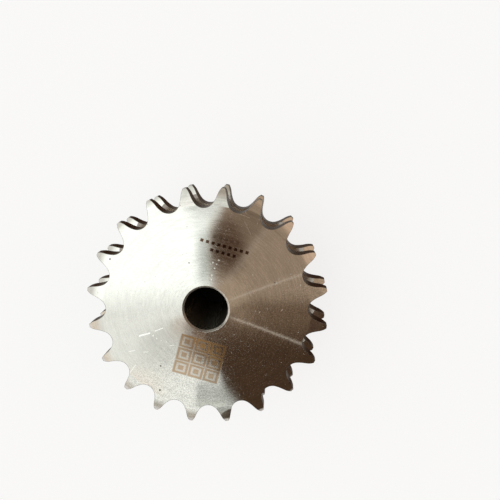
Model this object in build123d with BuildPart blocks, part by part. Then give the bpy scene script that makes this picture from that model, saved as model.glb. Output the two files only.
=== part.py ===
from build123d import *
import math
import os

# Double-strand roller chain sprocket with a hub on one side and a plain bore, turned and
# cut from one blank of stainless steel. Millimetres. The bore runs along +Z, the end of
# the hub lies in the XY plane with its centre at the origin, and in each row one tooth
# points along +X.

# ---- chain and tooth count ----
PITCH = 12.7
ROLLER_DIAMETER = 7.925
TRANSVERSE_PITCH = 14.376
TEETH = 20

# ---- blank ----
ROW_THICKNESS = 6.985
LENGTH_THROUGH_BORE = 41.275
HUB_DIAMETER = 66.675
BORE_DIAMETER = 15.875

# ---- edges and corners ----
BORE_CHAMFER = 0.65
HUB_CHAMFER = 0.4
CORNER_RADIUS = 0.8
SIDE_DEPTH = 0.5 * PITCH
SIDE_RADIUS = 1.063 * PITCH

# ---- sizes that follow ----
TOOTH_ANGLE = 360 / TEETH
HALF_TOOTH = math.radians(TOOTH_ANGLE / 2)
PITCH_RADIUS = PITCH / 2 / math.sin(HALF_TOOTH)
TIP_RADIUS = (0.6 * PITCH + PITCH / math.tan(HALF_TOOTH)) / 2
SIDE_START = TIP_RADIUS - SIDE_DEPTH
SIDE_DROP = SIDE_RADIUS - math.sqrt(SIDE_RADIUS**2 - SIDE_DEPTH**2)
HUB_RADIUS = HUB_DIAMETER / 2
BORE_RADIUS = BORE_DIAMETER / 2
HUB_PROJECTION = LENGTH_THROUGH_BORE - TRANSVERSE_PITCH - ROW_THICKNESS
ROW_BASES = [HUB_PROJECTION, HUB_PROJECTION + TRANSVERSE_PITCH]

# ---- tooth form of the inch roller chain standard, with the gap along +X ----
# A seating arc holds the roller. Each flank goes on with a working arc, a short flat and
# a topping arc, which rounds the tooth over to its tip. Angles are in degrees.
SEAT_RADIUS = (1.005 * ROLLER_DIAMETER + 0.0762) / 2
SEAT_ANGLE = 35 + 60 / TEETH
WORKING_ANGLE = 18 - 56 / TEETH
FLANK_ANGLE = SEAT_ANGLE - WORKING_ANGLE
WORKING_OFFSET = 0.8 * ROLLER_DIAMETER
WORKING_RADIUS = WORKING_OFFSET + SEAT_RADIUS
WORKING_CENTRE = Vector(
    PITCH_RADIUS + WORKING_OFFSET * math.sin(math.radians(SEAT_ANGLE)),
    -WORKING_OFFSET * math.cos(math.radians(SEAT_ANGLE)),
)
TOPPING_OFFSET = 1.4 * ROLLER_DIAMETER
TOPPING_CENTRE = Vector(
    PITCH_RADIUS - TOPPING_OFFSET * math.sin(HALF_TOOTH),
    TOPPING_OFFSET * math.cos(HALF_TOOTH),
)
TOPPING_START = FLANK_ANGLE - 90
FLAT_LENGTH = TOPPING_OFFSET * math.sin(
    math.radians(17 - 64 / TEETH)
) - WORKING_OFFSET * math.sin(math.radians(WORKING_ANGLE))

# The cutter runs out past the tips and past both sides of the rows.
RUN_OUT = 0.5
CLEARANCE = 2.0

# ---- the gap between two teeth ----
with BuildSketch() as gap:
    with BuildLine():
        working = CenterArc(
            WORKING_CENTRE, WORKING_RADIUS, 90 + SEAT_ANGLE, -WORKING_ANGLE
        )
        flat = PolarLine(working @ 1, FLAT_LENGTH, FLANK_ANGLE)

        # the topping arc ends where its distance from the bore reaches run_out_radius
        run_out_radius = TIP_RADIUS + RUN_OUT
        topping_radius = (flat @ 1 - TOPPING_CENTRE).length
        reach = TOPPING_CENTRE.length
        bend = math.acos(
            (run_out_radius**2 - reach**2 - topping_radius**2) / (2 * reach * topping_radius)
        )
        topping_end = math.degrees(math.atan2(TOPPING_CENTRE.Y, TOPPING_CENTRE.X) - bend)
        topping = CenterArc(
            TOPPING_CENTRE, topping_radius, TOPPING_START, topping_end - TOPPING_START
        )

        mouth = Line(topping @ 1, (TIP_RADIUS + CLEARANCE, (topping @ 1).Y))
        mirror(about=Plane.XZ)
        CenterArc((PITCH_RADIUS, 0), SEAT_RADIUS, 90 + SEAT_ANGLE, 180 - 2 * SEAT_ANGLE)
        Line(mouth @ 1, ((mouth @ 1).X, -(mouth @ 1).Y))
    make_face()

# ---- the sprocket ----
with BuildPart() as sprocket:
    # the barrel is the hub, and between the rows the floor of the groove
    with BuildSketch():
        Circle(HUB_RADIUS)
    extrude(amount=LENGTH_THROUGH_BORE)

    # two rows, rounded towards the tips on both sides so that the chain's plates slip on
    for base in ROW_BASES:
        top = base + ROW_THICKNESS
        with BuildSketch(Plane.XZ):
            with BuildLine():
                lower_side = TangentArc(
                    (SIDE_START, base), (TIP_RADIUS, base + SIDE_DROP), tangent=(1, 0)
                )
                upper_side = TangentArc(
                    (SIDE_START, top), (TIP_RADIUS, top - SIDE_DROP), tangent=(1, 0)
                )
                Line(lower_side @ 1, upper_side @ 1)
                Polyline(upper_side @ 0, (0, top), (0, base), lower_side @ 0)
            make_face()
        revolve(axis=Axis.Z)

    # small radii in the three corners where the barrel meets the sides of the rows, which
    # are all the barrel's round edges but the lowest
    corners = (
        sprocket.edges()
        .filter_by(GeomType.CIRCLE)
        .filter_by(lambda edge: math.isclose(edge.radius, HUB_RADIUS))
        .sort_by(Axis.Z)[1:]
    )
    fillet(corners, CORNER_RADIUS)

    # the gaps are cut through both rows at once
    with BuildSketch(Plane.XY.offset(HUB_PROJECTION - CLEARANCE)):
        with PolarLocations(0, TEETH, start_angle=TOOTH_ANGLE / 2):
            add(gap.sketch)
    extrude(amount=LENGTH_THROUGH_BORE - HUB_PROJECTION + 2 * CLEARANCE, mode=Mode.SUBTRACT)

    # a broken rim on the hub, and a plain bore broken at both ends
    chamfer(sprocket.faces().sort_by(Axis.Z)[0].edges(), HUB_CHAMFER)
    Hole(BORE_RADIUS)
    bore_ends = (
        sprocket.edges()
        .filter_by(GeomType.CIRCLE)
        .filter_by(lambda edge: math.isclose(edge.radius, BORE_RADIUS))
    )
    chamfer(bore_ends, BORE_CHAMFER)

sprocket.part.label = "sprocket"
os.makedirs("parts", exist_ok=True)
export_step(sprocket.part, "parts/sprocket.step")
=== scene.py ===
import math
from types import SimpleNamespace

import bpy
from mathutils import Euler, Matrix, Vector


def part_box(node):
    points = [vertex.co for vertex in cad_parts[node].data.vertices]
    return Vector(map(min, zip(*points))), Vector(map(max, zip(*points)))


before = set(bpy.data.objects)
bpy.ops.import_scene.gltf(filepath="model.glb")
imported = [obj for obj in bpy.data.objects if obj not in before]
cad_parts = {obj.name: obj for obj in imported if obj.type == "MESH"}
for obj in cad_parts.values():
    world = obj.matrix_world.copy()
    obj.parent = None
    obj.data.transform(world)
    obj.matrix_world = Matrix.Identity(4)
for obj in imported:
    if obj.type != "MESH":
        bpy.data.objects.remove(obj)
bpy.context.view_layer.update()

# The looks of the chain sprocket: turned and hobbed stainless steel on a pale floor. Blender's
# own units are metres, in the CAD frame: the bore runs along +Z and the flat toothed face is
# the top. Materials measure in millimetres. Colours are linear and run from 0 to 1, and only
# what shines by itself goes past 1.
MM = 0.001

# ---- places on the sprocket, in millimetres ----
FACE_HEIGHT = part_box("sprocket")[1].z / MM
BORE_RADIUS = 7.94
# distances from the bore's axis, each from where a part of the look is absent to where it is
# full: the broken edges of the bore, the flanks of the teeth, the painted dark line of shade
# along their edges, and the flat sides of the rows, which end where their rounding starts
RIM_REACH = (10.0, 9.5)
FLANK_REACH = (34.0, 35.5)
EDGE_REACH = (33, 35)
SIDE_REACH = (39.5, 37.5)
# the same for the heights of those sides, between the hub's end and the toothed face
SIDE_LOW = (15, 18)
SIDE_HIGH = (FACE_HEIGHT - 2, FACE_HEIGHT - 4)

# ---- camera, at the photograph's viewing angle ----
CAMERA_PLACE = Vector((1.91, -66.55, 262.24)) * MM
CAMERA_TURN = Euler([math.radians(angle) for angle in (-9.918, 3.126, -153.541)])
CAMERA_LENS = 45.914

# ---- the surroundings, which the steel mirrors ----
# Turns from +X to what runs to the right of the picture and down it. A direction in the sky is
# given by its part to the right and its part down, out of 1.
PICTURE_RIGHT = math.radians(207)
PICTURE_DOWN = math.radians(117)
# what the middle of the toothed face mirrors to the camera, and how much further along the
# sky each millimetre of the face mirrors
MIRRORED = (-0.1235, 0.26)
MIRRORED_STEP = 1 / 231
# the window's edge: how far right it lies at the top, and its moves as it comes down, each
# between two parts down
EDGE_TOP = 0.050
EDGE_MOVES = [
    (-0.300, 0.000, -0.080),
    (0.000, 0.100, -0.070),
    (0.100, 0.140, -0.020),
    (0.180, 0.215, 0.006),
    (0.235, 0.285, -0.038),
    (0.315, 0.362, 0.054),
    (0.360, 0.425, 0.043),
]
# how soft the edge is at the top, and its changes in the same way
EDGE_SOFTNESS = 0.013
EDGE_SOFTNESS_MOVES = [
    (0.12, 0.15, -0.004),
    (0.17, 0.24, 0.003),
    (0.30, 0.36, -0.005),
]
# thin bright gaps in the room that the face mirrors as rays from the bore: turn from the
# picture's right in degrees, width on the face in millimetres, brightness
RAYS = [(19.7, 0.55, 0.36), (-18.7, 0.55, 0.24), (-52.0, 2.2, 0.06)]
RAY_COLOUR = (1.35, 1.25, 1.1)
# where along the sky the gaps come in and go out
RAY_START = (0.03, 0.05)
RAY_END = (0.19, 0.16)

# past the window and the room
HORIZON_RIGHT = (0.76, 0.74, 0.71, 1)
HORIZON_LEFT = (1.1, 1.1, 1.09, 1)
DIM_WALL = (0.34, 0.29, 0.25, 1)

# ---- thin lamps that strengthen two of the rays ----
# name, turn from the picture's right in degrees, start and end along the sky, radiance
LAMPS = [
    ("long_lamp", 19.7, 0.24, 0.44, 3.2),
    ("short_lamp", -18.9, 0.24, 0.40, 3.6),
]
LAMP_DISTANCE = 2.0
LAMP_WIDTH = 0.028
LAMP_COLOUR = (1.0, 0.95, 0.88)

# ---- the floor ----
FLOOR_REACH = 6.0
FLOOR_COLOUR = (0.9, 0.9, 0.9, 1)
# how much of the floor that is seen, itself or mirrored, is plain white and not lit
FLOOR_WHITE = 0.8
# painted shade: the floor under the bore is dark, as the photograph shows it
SHADE_UNDER_BORE = (0.02, 0.018, 0.015, 1)
SHADE_UNDER_BORE_EDGE = (1.2 * BORE_RADIUS * MM, 1.5 * BORE_RADIUS * MM)

# ---- what lies where on the toothed face: turns from +X, and places in millimetres ----
# the field and the rows of squares stand at one turn
MARK_TURN = math.radians(11)
FIELD_CENTRE = (-6.0, 18.0)
FIELD_SIDES = (17.3, 15.3)
FIELD_CELLS = 3
# painted shade: the field is darker on the far side of a line: the way across it, and how far out
# it is
FIELD_SHADE_TURN = math.radians(250.8)
FIELD_SHADE_START = -12.5
# rows of small solid squares: place of the middle, how many, and how strong they are
ROWS = [
    ((4.1, -23.6), 9, 1.0),
    ((3.5, -21.2), 5, 1.0),
    ((4.5, -26.0), 5, 0.3),
]
ROW_SQUARE = 1.15
ROW_PITCH = 2.07
# a faint disc: place, radius
FAINT_DISC = ((5.5, -29.8), 3.5)
# the way in which the grain gets coarser, the turning marks get fainter and the broken edges
# of the bore carry a painted highlight: the lower right, the left and the right of the picture
COARSE_TURN = math.radians(147)
FAINT_TURN = math.radians(27)
RIM_HIGHLIGHT_TURN = math.radians(219)
# scratches, lightened with a painted highlight: start, end, width, strength
SCRATCHES = [
    ((17.3, 20.2), (14.5, 17.6), 0.42, 1.0),
    ((13.0, 15.9), (11.0, 13.6), 0.22, 0.9),
    ((18.2, 27.4), (16.5, 26.1), 0.20, 0.7),
    ((13.5, 25.2), (11.9, 24.3), 0.18, 0.6),
    ((5.9, 18.5), (4.6, 17.6), 0.20, 0.6),
    ((14.5, 34.8), (13.9, 30.9), 0.14, 0.8),
    ((4.1, -36.4), (0.9, -36.7), 0.18, 0.6),
    ((-24.3, -11.8), (-24.5, -12.8), 0.16, 0.8),
    ((-16.2, 5.0), (-18.8, 3.7), 0.12, 0.25),
    ((-18.8, 3.7), (-21.9, 6.7), 0.12, 0.25),
    ((1.6, -34.8), (-2.5, -31.5), 0.16, 0.5),
]
# painted glints: place, radius
GLINTS = [
    ((12.9, 17.8), 0.35), ((11.3, 18.2), 0.3), ((9.5, 18.2), 0.25), ((7.6, 17.8), 0.25),
    ((5.3, -16.4), 0.3), ((3.8, -16.5), 0.25), ((3.9, -14.8), 0.3), ((3.7, -12.0), 0.4),
    ((3.3, -10.5), 0.4), ((3.8, -18.1), 0.3), ((-17.6, -7.8), 0.25),
]
GLINT_STRENGTH = 0.7
# dark pits: place, radius
PITS = [
    ((38.7, -0.8), 0.35), ((12.7, -12.5), 0.25), ((5.4, 27.0), 0.35), ((1.7, 35.6), 0.4),
    ((-17.8, -20.0), 0.35),
]
# sparse fine scratches all over: turn in degrees, length, width, and the noise they start at
FINE_SCRATCHES = [
    (24, 3.0, 0.12, 0.73),
    (-47, 2.4, 0.11, 0.74),
    (98, 4.0, 0.11, 0.74),
]
FINE_STRENGTH = 0.12

# ---- noises over the steel: scale per millimetre, detail, roughness ----
MOTTLE = (0.45, 4.0, 0.65)
GRAIN = (2.2, 3.0, 0.7)
SPECKS = (1.4, 0.0)
RINGS = (1.3, 2.0, 0.6)
# the lathe's fine lines and longer smears are noises too, on a ring that is this wide, with
# this much change for each millimetre across the marks
LINES = (1.0, 4.0, 0.75)
LINES_RING = 4.5
LINES_ACROSS = 2.2
SMEARS = (1.0, 3.0)
SMEARS_RING = 0.7 * LINES_RING
SMEARS_ACROSS = 0.5

# ---- colours of the steel ----
STEEL = (0.6, 0.575, 0.54, 1)
# painted shade: the walls, and the flanks of the teeth darker still, are darker and browner than
# the face, as the dim brown surroundings they mirror
WALL_SHADE = (0.24, 0.19, 0.15)
FLANK_SHADE = (0.085, 0.066, 0.05)
# painted shade: the flat sides of the rows, in the groove and over the hub, are darker
GROOVE_SIDE_SHADE = (0.40, 0.32, 0.25)
# painted shade on the broken edges of the bore all round, and a painted highlight on one side of
# them
RIM_PAINTED_SHADE = (0.30, 0.265, 0.23)
RIM_PAINTED_HIGHLIGHT = (0.85, 0.78, 0.70)
# painted shade: the bore is near black inside
BORE_SHADE = (0.02, 0.018, 0.014)
# painted highlight on the scratches and glints
SCRATCH_HIGHLIGHT = (0.93, 0.92, 0.9)
FIELD = (0.39, 0.285, 0.20)
# painted shade on the far side of the field
SHADED_FIELD = (0.335, 0.20, 0.092)
DISC = (0.45, 0.33, 0.25)
SQUARES = (0.12, 0.07, 0.045)
PIT = (0.09, 0.07, 0.06)
# painted shade: a thin dark line along the edges of the teeth
TOOTH_EDGE_SHADE = (0.05, 0.04, 0.03)
# at grazing angles the steel mirrors this much, which keeps the flanks of the teeth dark
GRAZING = (0.25, 0.215, 0.185, 1)

# ---- edges, in millimetres: radius of the rounding, and how many rays look for it ----
ROUNDING = (0.14, 6)
WIDE_ROUNDING = (0.4, 8)


class Graph:
    """A node tree in the making. Each method adds nodes and returns the socket they end in."""

    def __init__(self, tree):
        self.tree = tree
        tree.nodes.clear()

    def node(self, kind, inputs=(), **settings):
        """Adds one node and returns it. Its inputs are sockets or plain values."""
        node = self.tree.nodes.new(kind)
        for name, value in settings.items():
            setattr(node, name, value)
        for name, value in dict(inputs).items():
            if isinstance(value, bpy.types.NodeSocket):
                self.tree.links.new(value, node.inputs[name])
            else:
                node.inputs[name].default_value = value
        return node

    def math(self, operation, *values, clamp=False):
        return self.node(
            "ShaderNodeMath", enumerate(values), operation=operation, use_clamp=clamp
        ).outputs[0]

    def magnitude(self, value):
        """A number without its sign."""
        return self.math("ABSOLUTE", value)

    def rest(self, share):
        """What a share leaves of 1."""
        return self.math("SUBTRACT", 1.0, share)

    def product(self, first, *others):
        for other in others:
            first = self.math("MULTIPLY", first, other)
        return first

    def total(self, first, *others):
        for other in others:
            first = self.math("ADD", first, other)
        return first

    def most(self, first, *others):
        for other in others:
            first = self.math("MAXIMUM", first, other)
        return first

    def vector(self, operation, first, second=None):
        """A vector operation. SCALE takes a number second, and NORMALIZE and LENGTH nothing."""
        inputs = {0: first}
        if second is not None:
            inputs["Scale" if operation == "SCALE" else 1] = second
        node = self.node("ShaderNodeVectorMath", inputs, operation=operation)
        return node.outputs["Value" if operation in ("DOT_PRODUCT", "LENGTH") else "Vector"]

    def along(self, vector, turn):
        """How far a vector reaches along the level direction at a turn from +X."""
        return self.vector("DOT_PRODUCT", vector, (math.cos(turn), math.sin(turn), 0))

    def join(self, x, y, z):
        return self.node("ShaderNodeCombineXYZ", {"X": x, "Y": y, "Z": z}).outputs["Vector"]

    def fade(self, value, start, end, low=0.0, high=1.0):
        """low up to start, high past end, and a smooth change between them."""
        return self.node(
            "ShaderNodeMapRange",
            {"Value": value, "From Min": start, "From Max": end, "To Min": low, "To Max": high},
            interpolation_type="SMOOTHSTEP",
        ).outputs["Result"]

    def swing(self, noise):
        """A noise, spread to run from -0.5 to 0.5."""
        return self.fade(noise, 0.3, 0.7, -0.5, 0.5)

    def mix(self, share, first, second):
        """Between two colours."""
        node = self.node("ShaderNodeMix", {0: share, 6: first, 7: second}, data_type="RGBA")
        return node.outputs[2]

    def mix_steps(self, start, *steps):
        """A colour that each step, a share and a colour, covers in turn."""
        colour = start
        for share, cover in steps:
            colour = self.mix(share, colour, (*cover, 1))
        return colour

    def noise(self, vector, scale=1.0, detail=2.0, roughness=0.5):
        return self.node(
            "ShaderNodeTexNoise",
            {"Vector": vector, "Scale": scale, "Detail": detail, "Roughness": roughness},
        ).outputs["Fac"]

    def noise_along(self, place, scale, detail=2.0, roughness=0.5):
        """Noise that changes along one measure only."""
        return self.node(
            "ShaderNodeTexNoise",
            {"W": place, "Scale": scale, "Detail": detail, "Roughness": roughness},
            noise_dimensions="1D",
        ).outputs["Fac"]


class Sky:
    """The surroundings' measures: how far a direction lies to the right, down and up."""

    def __init__(self, g):
        self.g = g
        direction = g.node("ShaderNodeTexCoord").outputs["Generated"]
        self.right = g.along(direction, PICTURE_RIGHT)
        self.down = g.along(direction, PICTURE_DOWN)
        self.up = g.vector("DOT_PRODUCT", direction, (0, 0, 1))

    def part(self, **sides):
        """1 in one part of the sky. Each side is a measure with where it starts and is full."""
        fades = [self.g.fade(getattr(self, measure), *side) for measure, side in sides.items()]
        return self.g.product(*fades)

    def patch(self, centre, reach):
        """1 about a centre, given to the right and down, and 0 past its reach."""
        g = self.g
        across = g.math("DIVIDE", g.math("SUBTRACT", self.right, centre[0]), reach[0])
        along = g.math("DIVIDE", g.math("SUBTRACT", self.down, centre[1]), reach[1])
        return g.fade(g.vector("LENGTH", g.join(across, along, 0)), 1.0, 0.4)

    def ray(self, turn, width):
        """1 along a thin straight gap that points away from what the bore's middle mirrors."""
        g = self.g
        east = g.math("SUBTRACT", self.right, MIRRORED[0])
        south = g.math("SUBTRACT", self.down, MIRRORED[1])
        cosine = math.cos(math.radians(turn))
        sine = math.sin(math.radians(turn))
        along = g.total(g.product(east, cosine), g.product(south, sine))
        across = g.math("SUBTRACT", g.product(south, cosine), g.product(east, sine))
        reach = width * MIRRORED_STEP
        thin = g.fade(g.magnitude(across), reach, 0.2 * reach)
        return g.product(thin, g.fade(along, *RAY_START), g.fade(along, *RAY_END))

    def moved(self, start, moves):
        """A measure that starts at the top of the picture, with its moves on the way down."""
        g = self.g
        return g.total(start, *[g.fade(self.down, *span, 0.0, move) for *span, move in moves])


def make_camera():
    """The camera that was fitted to the teeth in the photograph."""
    data = bpy.data.cameras.new("camera")
    data.lens = CAMERA_LENS
    camera = bpy.data.objects.new("camera", data)
    camera.location = CAMERA_PLACE
    camera.rotation_euler = CAMERA_TURN
    bpy.context.scene.collection.objects.link(camera)
    bpy.context.scene.camera = camera


def room_light(g, sky):
    """The warm dim room to the right of the picture."""
    room = g.mix_steps(
        (0.455, 0.345, 0.25, 1),
        # it darkens in two steps on the way down
        (sky.part(down=(0.232, 0.266)), (0.21, 0.14, 0.09)),
        (sky.part(down=(0.270, 0.325)), (0.088, 0.052, 0.030)),
        # a lit thing that the face mirrors just right of the bore, and a dark one well above it
        (sky.patch((-0.088, 0.240), (0.036, 0.036)), (0.58, 0.45, 0.325)),
        (sky.patch((-0.090, 0.164), (0.042, 0.062)), (0.11, 0.065, 0.04)),
        # fainter ones right of the bore and below it
        (sky.patch((-0.068, 0.272), (0.025, 0.022)), (0.33, 0.235, 0.16)),
        (sky.patch((-0.138, 0.305), (0.022, 0.022)), (0.27, 0.18, 0.12)),
        # what the teeth at the upper right mirror
        (sky.patch((0.03, 0.01), (0.08, 0.12)), (0.27, 0.20, 0.14)),
        (sky.patch((-0.05, 0.12), (0.04, 0.05)), (0.3, 0.22, 0.155)),
        # a lit wall far to the right, and a dark thing below it
        (sky.part(right=(0.15, 0.45), down=(0.2, 0.0)), (0.84, 0.62, 0.45)),
        (sky.patch((0.45, 0.32), (0.35, 0.13)), (0.12, 0.075, 0.05)),
        # the ground at the bottom
        (sky.part(down=(0.55, 0.75), right=(0.03, -0.08)), (0.22, 0.20, 0.16)),
    )
    for turn, width, brightness in RAYS:
        room = g.mix(g.product(sky.ray(turn, width), brightness), room, (*RAY_COLOUR, 1))
    return room


def window_light(g, sky):
    """The large bright window to the left of the picture."""
    frame_top = sky.part(right=(-0.147, -0.126), down=(0.125, 0.16))
    frame_foot = sky.part(down=(0.23, 0.21))
    return g.mix_steps(
        (1.30, 1.36, 1.32, 1),
        # its upper half is brighter
        (sky.part(down=(0.266, 0.210)), (1.82, 1.95, 1.9)),
        # it is dimmer towards the horizon
        (sky.part(up=(0.88, 0.55), down=(0.25, 0.15)), (1.05, 1.07, 1.02)),
        # and in steps towards the top right, which the upper teeth mirror
        (sky.part(down=(0.0, -0.4), right=(-0.4, -0.2)), (1.0, 1.05, 1.0)),
        (sky.part(down=(0.08, 0.0), right=(-0.26, -0.18)), (1.5, 1.54, 1.5)),
        (sky.part(down=(0.10, 0.04), right=(-0.13, -0.08)), (1.08, 1.12, 1.06)),
        (sky.part(down=(-0.1, -0.6), right=(-0.15, -0.02)), (0.62, 0.57, 0.49)),
        # a grey frame along its edge, and a dull spot at the top of the face
        (g.product(frame_top, frame_foot), (0.8, 0.87, 0.83)),
        (sky.patch((-0.13, 0.095), (0.04, 0.035)), (1.08, 1.15, 1.12)),
        # duller spots to the lower left of the bore
        (sky.patch((-0.185, 0.312), (0.05, 0.045)), (1.02, 1.07, 1.03)),
        (sky.patch((-0.16, 0.285), (0.022, 0.025)), (0.93, 0.87, 0.77)),
        # a grey corner near the bottom, and brighter glass below it and to its left
        (sky.part(down=(0.36, 0.375), right=(-0.14, -0.13)), (0.62, 0.66, 0.63)),
        (sky.patch((-0.115, 0.428), (0.06, 0.045)), (1.18, 1.25, 1.18)),
        (sky.patch((-0.24, 0.385), (0.07, 0.055)), (1.33, 1.28, 1.16)),
        # it is warmer far to the left, and dimmer at the bottom
        (sky.part(right=(-0.35, -0.75), down=(0.15, 0.3)), (1.13, 1.04, 0.9)),
        (sky.part(down=(0.5, 0.85)), (0.66, 0.63, 0.56)),
    )


def make_world():
    """A bright window to the left, a warm dim room to the right, and a pale horizon all round."""
    world = bpy.data.worlds.new("surroundings")
    bpy.context.scene.world = world
    world.use_nodes = True
    g = Graph(world.node_tree)
    sky = Sky(g)
    beyond = g.math("SUBTRACT", sky.right, sky.moved(EDGE_TOP, EDGE_MOVES))
    softness = sky.moved(EDGE_SOFTNESS, EDGE_SOFTNESS_MOVES)
    left = g.fade(g.math("DIVIDE", beyond, softness), 1.0, -1.0)
    light = g.mix(left, room_light(g, sky), window_light(g, sky))
    horizon = g.mix(sky.part(right=(0.6, -0.8)), HORIZON_RIGHT, HORIZON_LEFT)
    light = g.mix(sky.part(up=(0.42, 0.30)), light, horizon)
    # the wall behind the top of the picture
    light = g.mix(sky.part(down=(-0.7, -0.9), up=(0.15, 0.25)), light, DIM_WALL)
    background = g.node("ShaderNodeBackground", {"Color": light})
    g.node("ShaderNodeOutputWorld", {"Surface": background.outputs[0]})


def sky_direction(right, down):
    """The direction in the CAD frame with these parts to the right of the picture and down it."""
    across = Vector((math.cos(PICTURE_RIGHT), math.sin(PICTURE_RIGHT), 0)) * right
    along = Vector((math.cos(PICTURE_DOWN), math.sin(PICTURE_DOWN), 0)) * down
    flat = across + along
    return flat + Vector((0, 0, math.sqrt(1 - flat.length_squared)))


def make_tube_lamp(name, turn, start, end, radiance):
    """A thin lamp that the turned face draws out into a streak, turned from the picture's right."""
    across = Vector((math.cos(math.radians(turn)), math.sin(math.radians(turn))))
    first = sky_direction(*(Vector(MIRRORED) + across * start)) * LAMP_DISTANCE
    last = sky_direction(*(Vector(MIRRORED) + across * end)) * LAMP_DISTANCE
    along = (last - first).normalized()
    centre = (first + last) / 2
    away = (centre - along * centre.dot(along)).normalized()

    data = bpy.data.lights.new(name, "AREA")
    data.shape = "RECTANGLE"
    data.size = (last - first).length
    data.size_y = LAMP_WIDTH
    data.energy = radiance * math.pi * data.size * data.size_y
    data.color = LAMP_COLOUR
    lamp = bpy.data.objects.new(name, data)
    turned = Matrix((along, away.cross(along), away)).transposed().to_4x4()
    lamp.matrix_world = Matrix.Translation(centre) @ turned
    bpy.context.scene.collection.objects.link(lamp)


def floor_paint():
    """White is added to what the eye sees of the floor, and the shadow stays."""
    material = bpy.data.materials.new("pale_floor")
    material.use_nodes = True
    g = Graph(material.node_tree)
    place = g.node("ShaderNodeTexCoord").outputs["Object"]
    # painted shade: the floor under the bore is dark
    floor_beyond_shade = g.fade(g.vector("LENGTH", place), *SHADE_UNDER_BORE_EDGE)
    colour = g.mix(floor_beyond_shade, SHADE_UNDER_BORE, FLOOR_COLOUR)
    lit = g.node("ShaderNodeBsdfPrincipled", {"Base Color": colour, "Roughness": 0.8})
    white = g.node("ShaderNodeEmission", {"Color": (1, 1, 1, 1), "Strength": 1.0})
    path = g.node("ShaderNodeLightPath").outputs
    seen = g.most(path["Is Camera Ray"], path["Is Glossy Ray"], path["Is Transmission Ray"])
    share = g.product(seen, floor_beyond_shade, FLOOR_WHITE)
    shader = g.node("ShaderNodeMixShader", {0: share, 1: lit.outputs[0], 2: white.outputs[0]})
    g.node("ShaderNodeOutputMaterial", {"Surface": shader.outputs[0]})
    return material


def make_floor():
    """A plain pale floor under the end of the hub."""
    size = FLOOR_REACH
    mesh = bpy.data.meshes.new("floor")
    corners = [(-size, -size, 0), (size, -size, 0), (size, size, 0), (-size, size, 0)]
    mesh.from_pydata(corners, [], [(0, 1, 2, 3)])
    mesh.materials.append(floor_paint())
    floor = bpy.data.objects.new("floor", mesh)
    bpy.context.scene.collection.objects.link(floor)


# In what follows, g is the graph of the steel, s the places on the sprocket that find_places
# gives, and m the marks that find_marks gives.

def find_places(g):
    """Where a point of the sprocket is and which way it faces, in millimetres."""
    coordinates = g.node("ShaderNodeTexCoord")
    place = g.vector("MULTIPLY", coordinates.outputs["Object"], (1 / MM, 1 / MM, 1 / MM))
    height = g.vector("DOT_PRODUCT", place, (0, 0, 1))
    flat = g.vector("MULTIPLY", place, (1, 1, 0))
    radius = g.vector("LENGTH", flat)
    outward = g.vector("NORMALIZE", flat)
    facing = coordinates.outputs["Normal"]
    upward = g.vector("DOT_PRODUCT", facing, (0, 0, 1))
    # walls stand along the bore: the barrel, the bore and the flanks of the teeth
    wall = g.fade(g.magnitude(upward), 0.75, 0.45)
    # the tool's marks run around, and follow one another along this measure
    feed = g.total(g.product(radius, g.rest(wall)), g.product(height, wall))
    level = g.fade(g.magnitude(upward), 0.90, 0.99)
    # the toothed face on top, without the rounding towards the tips
    face = g.product(level, g.fade(height, FACE_HEIGHT - 0.4, FACE_HEIGHT - 0.2))
    bore = g.product(wall, g.fade(radius, BORE_RADIUS + 1.0, BORE_RADIUS + 0.5))
    # the broken edges of the bore
    rim = g.product(g.fade(g.magnitude(upward), 0.9, 0.8), g.fade(radius, *RIM_REACH))
    flank = g.product(wall, g.fade(radius, *FLANK_REACH))
    # the flat sides of the rows that look on the groove and the hub
    side = g.product(
        level,
        g.fade(height, *SIDE_LOW),
        g.fade(height, *SIDE_HIGH),
        g.fade(radius, *SIDE_REACH),
    )
    return SimpleNamespace(
        place=place, flat=flat, radius=radius, outward=outward, facing=facing,
        wall=wall, feed=feed, face=face, rim=rim, bore=bore, flank=flank, side=side,
    )


def turning_marks(g, s):
    """What the lathe left: even rings, fine broken lines, and longer smears across them."""

    def on_ring(width, across):
        """A place for noise that runs around with the marks, and across them."""
        around = g.vector("SCALE", s.outward, width)
        return g.vector("ADD", around, g.join(0, 0, g.product(s.feed, across)))

    even = g.noise_along(s.feed, *RINGS)
    lines = g.noise(on_ring(LINES_RING, LINES_ACROSS), *LINES)
    smears = g.noise(on_ring(SMEARS_RING, SMEARS_ACROSS), *SMEARS)
    return even, lines, smears


def fine_scratches(g, s, turn, length, width, limit):
    """Sparse straight scratches, all at one turn from +X."""
    turned = g.node(
        "ShaderNodeVectorRotate",
        {"Vector": s.place, "Angle": math.radians(turn)},
        rotation_type="Z_AXIS",
    ).outputs[0]
    stretched = g.vector("MULTIPLY", turned, (1 / length, 1 / width, 1 / length))
    return g.fade(g.noise(stretched, 1.0, 1.0), limit, limit + 0.05)


def stroke(g, s, start, end, width, strength):
    """A strength along a straight scratch on the toothed face, and 0 beside it."""
    run = Vector(end) - Vector(start)
    offset = g.vector("SUBTRACT", s.flat, (*start, 0))
    share = g.math(
        "DIVIDE", g.vector("DOT_PRODUCT", offset, (*run, 0)), run.length_squared, clamp=True
    )
    nearest = g.vector("MULTIPLY", g.join(share, share, 0), (*run, 0))
    away = g.vector("LENGTH", g.vector("SUBTRACT", offset, nearest))
    return g.fade(away, width, 0.3 * width, 0.0, strength)


def dot(g, s, centre, radius):
    """1 in a round spot on the toothed face, and 0 outside it."""
    away = g.vector("LENGTH", g.vector("SUBTRACT", s.flat, (*centre, 0)))
    return g.fade(away, 1.1 * radius, 0.6 * radius)


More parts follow.
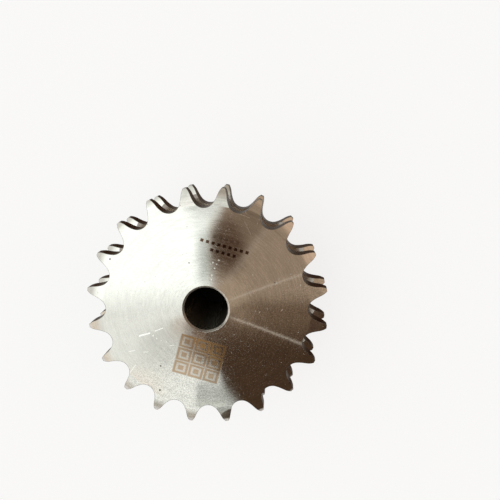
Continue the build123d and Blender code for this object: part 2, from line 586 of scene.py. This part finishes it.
def scratches_and_painted_glints(g, s):
    """Scratches, lightened with a painted highlight, and glints, which are painted highlights."""
    fine = [g.product(fine_scratches(g, s, *line), FINE_STRENGTH) for line in FINE_SCRATCHES]
    scratches = [g.product(stroke(g, s, *scratch), s.face) for scratch in SCRATCHES]
    glints = [g.product(dot(g, s, *glint), s.face, GLINT_STRENGTH) for glint in GLINTS]
    return g.most(*fine, *scratches, *glints)


def dark_pits(g, s):
    """A few pits on the toothed face, and small specks all over."""
    pits = g.product(g.most(*[dot(g, s, *pit) for pit in PITS]), s.face)
    specks = g.fade(g.noise(s.place, *SPECKS), 0.84, 0.87)
    return g.most(pits, g.product(specks, 0.5))


def turned_about(g, s, centre, turn):
    """Measures along and across from a centre on the toothed face, turned from +X."""
    offset = g.vector("SUBTRACT", s.flat, (*centre, 0))
    return g.along(offset, turn), g.along(offset, turn + math.pi / 2)


def in_cell(g, measure, cell):
    """Distance from the middle of the cell that a measure falls in, out of half a cell."""
    part = g.math("FRACT", g.math("ADD", g.math("DIVIDE", measure, cell), 0.5))
    return g.product(g.magnitude(g.math("SUBTRACT", part, 0.5)), 2.0)


def etched_field(g, s, grain):
    """A field of nested squares, three by three, on a mottled ground."""
    along, across = turned_about(g, s, FIELD_CENTRE, MARK_TURN)
    inside = g.product(
        g.fade(g.magnitude(along), FIELD_SIDES[0] / 2 + 0.1, FIELD_SIDES[0] / 2 - 0.1),
        g.fade(g.magnitude(across), FIELD_SIDES[1] / 2 + 0.1, FIELD_SIDES[1] / 2 - 0.1),
    )
    ring = g.most(
        in_cell(g, along, FIELD_SIDES[0] / FIELD_CELLS),
        in_cell(g, across, FIELD_SIDES[1] / FIELD_CELLS),
    )
    rim = g.product(g.fade(ring, 0.60, 0.66), g.fade(ring, 0.96, 0.90))
    core = g.fade(ring, 0.38, 0.32)
    ground = g.fade(grain, 0.38, 0.68, 0.05, 0.85)
    return g.product(inside, g.most(rim, core, ground), s.face)


def etched_row(g, s, centre, count, strength):
    """A row of equal small solid squares."""
    along, across = turned_about(g, s, centre, MARK_TURN)
    reach = count * ROW_PITCH / 2
    inside = g.fade(g.magnitude(along), reach + 0.05, reach - 0.05)
    # how far out of a square's middle, where 1 is its edge. The counts are odd, so that the
    # middle of the row is the middle of a square.
    out = g.most(
        g.product(in_cell(g, along, ROW_PITCH), ROW_PITCH / ROW_SQUARE),
        g.product(g.magnitude(across), 2 / ROW_SQUARE),
    )
    return g.product(inside, g.fade(out, 1.1, 0.85), strength)


def find_marks(g, s):
    """All that machining, the marking laser and handling left on the steel, with painted shade on
    part of the field and painted glints.
    """
    even, lines, smears = turning_marks(g, s)
    mottle = g.noise(s.place, *MOTTLE)
    grain = g.noise(s.place, *GRAIN)
    field = etched_field(g, s, grain)
    # painted shade: the field is darker and rougher on the far side of a line
    field_shade = g.product(g.fade(g.along(s.flat, FIELD_SHADE_TURN), FIELD_SHADE_START - 2, FIELD_SHADE_START + 2), field)
    rows = g.product(g.most(*[etched_row(g, s, *row) for row in ROWS]), s.face)
    disc = g.product(dot(g, s, *FAINT_DISC), s.face, grain, 0.5)
    return SimpleNamespace(
        even=even, lines=lines, smears=smears, mottle=mottle, grain=grain,
        field=field, field_shade=field_shade, rows=rows, disc=disc,
        bright=scratches_and_painted_glints(g, s), pits=dark_pits(g, s),
    )


def bevelled(g, radius, samples):
    """The direction that the steel faces, with its edges rounded to a radius in millimetres."""
    return g.node("ShaderNodeBevel", {"Radius": radius * MM}, samples=samples).outputs[0]


def painted_edge_shade(g, s):
    """1 along the edges of the teeth, where a wide rounding leaves the true direction: a painted
    dark line of shade.
    """
    true_normal = g.node("ShaderNodeNewGeometry").outputs["True Normal"]
    agreement = g.vector("DOT_PRODUCT", bevelled(g, *WIDE_ROUNDING), true_normal)
    return g.product(g.fade(agreement, 0.985, 0.90), g.fade(s.radius, *EDGE_REACH))


def steel_tone(g, s, m):
    """How much lighter or darker than its plain colour the steel is, about 1."""
    # the lathe's lines are fainter to the left of the picture, the grain coarser to the lower right
    line_strength = g.fade(g.along(s.flat, FAINT_TURN), 12.0, 22.0, 0.20, 0.11)
    grain_strength = g.fade(g.along(s.flat, COARSE_TURN), 0.0, 16.0, 0.12, 0.50)
    return g.total(
        0.97,
        g.product(g.swing(m.lines), line_strength),
        g.product(g.swing(m.mottle), 0.05),
        g.product(g.swing(m.grain), grain_strength),
        g.product(g.swing(m.smears), 0.04),
        g.product(g.swing(m.even), s.wall, 0.3),
        g.product(g.swing(m.smears), s.wall, 0.3),
    )


def steel_colour(g, s, m):
    """The steel's colour, from its plain parts with their painted shade and highlights to the marks
    on top of them.
    """
    tone = steel_tone(g, s, m)
    # a painted highlight on the broken edges of the bore, on one side
    rim_highlight = g.product(s.rim, g.fade(g.along(s.outward, RIM_HIGHLIGHT_TURN), 0.5, 0.85))
    plain = g.mix_steps(
        STEEL,
        # painted shade on the walls and, darker, on the flanks of the teeth
        (g.product(s.wall, 0.75), WALL_SHADE),
        (g.product(s.flank, 0.95), FLANK_SHADE),
        # painted shade on the flat sides of the rows in the groove
        (g.product(s.side, 0.8), GROOVE_SIDE_SHADE),
        # painted shade on the broken edges of the bore, then a painted highlight on one side
        (s.rim, RIM_PAINTED_SHADE),
        (rim_highlight, RIM_PAINTED_HIGHLIGHT),
        # painted shade inside the bore
        (s.bore, BORE_SHADE),
    )
    return g.mix_steps(
        g.vector("MULTIPLY", plain, g.join(tone, tone, tone)),
        # painted highlight on the scratches and glints
        (g.product(m.bright, g.rest(s.wall)), SCRATCH_HIGHLIGHT),
        (m.field, FIELD),
        # painted shade on the far side of the field
        (m.field_shade, SHADED_FIELD),
        (m.disc, DISC),
        (m.rows, SQUARES),
        (g.product(m.pits, 0.85), PIT),
        # painted shade along the edges of the teeth
        (g.product(painted_edge_shade(g, s), 0.8), TOOTH_EDGE_SHADE),
    )


def steel_roughness(g, s, m):
    """A fine turned gloss, and what each part and mark adds to it."""
    return g.total(
        0.032,
        g.product(g.fade(m.lines, 0.30, 0.70), 0.018),
        g.product(g.fade(m.grain, 0.30, 0.70), 0.008),
        g.product(s.side, 0.2),
        g.product(s.wall, 0.10),
        g.product(s.rim, 0.30),
        g.product(s.bore, 0.25),
        g.product(m.field, 0.008),
        g.product(m.field_shade, 0.055),
        g.product(m.disc, 0.04),
        g.product(m.bright, 0.08),
        g.product(m.pits, 0.3),
    )


def steel_relief(g, s, m):
    """The direction that the steel faces, with its edges rounded and its marks raised or sunk."""
    height = g.total(
        g.product(m.lines, 0.0003),
        g.product(m.even, 0.0006),
        g.product(m.mottle, 0.001),
        g.product(s.wall, g.total(g.product(m.even, 0.012), g.product(m.grain, 0.006))),
        g.product(m.field, -0.001),
        g.product(m.bright, -0.004),
        g.product(m.pits, -0.03),
    )
    rounded = bevelled(g, *ROUNDING)
    return g.node(
        "ShaderNodeBump",
        {"Height": height, "Distance": MM, "Strength": 1.0, "Normal": rounded},
    ).outputs[0]


def tool_direction(g, s):
    """The way that the tool's marks run, around the bore on level faces and level on walls."""
    ground = g.vector(
        "ADD", g.vector("SCALE", s.outward, g.rest(s.wall)), g.vector("SCALE", s.facing, s.wall)
    )
    return g.vector("CROSS_PRODUCT", (0, 0, 1), ground)


def turned_steel():
    """Stainless steel with the marks of the lathe, of the marking laser and of handling, and
    painted shade and highlights in its colour.
    """
    material = bpy.data.materials.new("turned_steel")
    material.use_nodes = True
    g = Graph(material.node_tree)
    s = find_places(g)
    m = find_marks(g, s)
    shader = g.node(
        "ShaderNodeBsdfPrincipled",
        {
            "Base Color": steel_colour(g, s, m),
            "Metallic": 1.0,
            "Specular Tint": GRAZING,
            "Roughness": steel_roughness(g, s, m),
            "Anisotropic": 1.0,
            "Anisotropic Rotation": 0.25,
            "Tangent": tool_direction(g, s),
            "Normal": steel_relief(g, s, m),
        },
    )
    g.node("ShaderNodeOutputMaterial", {"Surface": shader.outputs[0]})
    return material


def dress_sprocket():
    """The CAD part's own mesh gets the steel."""
    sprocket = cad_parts["sprocket"]
    steel = turned_steel()
    for slot in sprocket.material_slots:
        slot.material = steel


bpy.context.scene.view_settings.view_transform = "Standard"
make_camera()
make_world()
for lamp in LAMPS:
    make_tube_lamp(*lamp)
make_floor()
dress_sprocket()
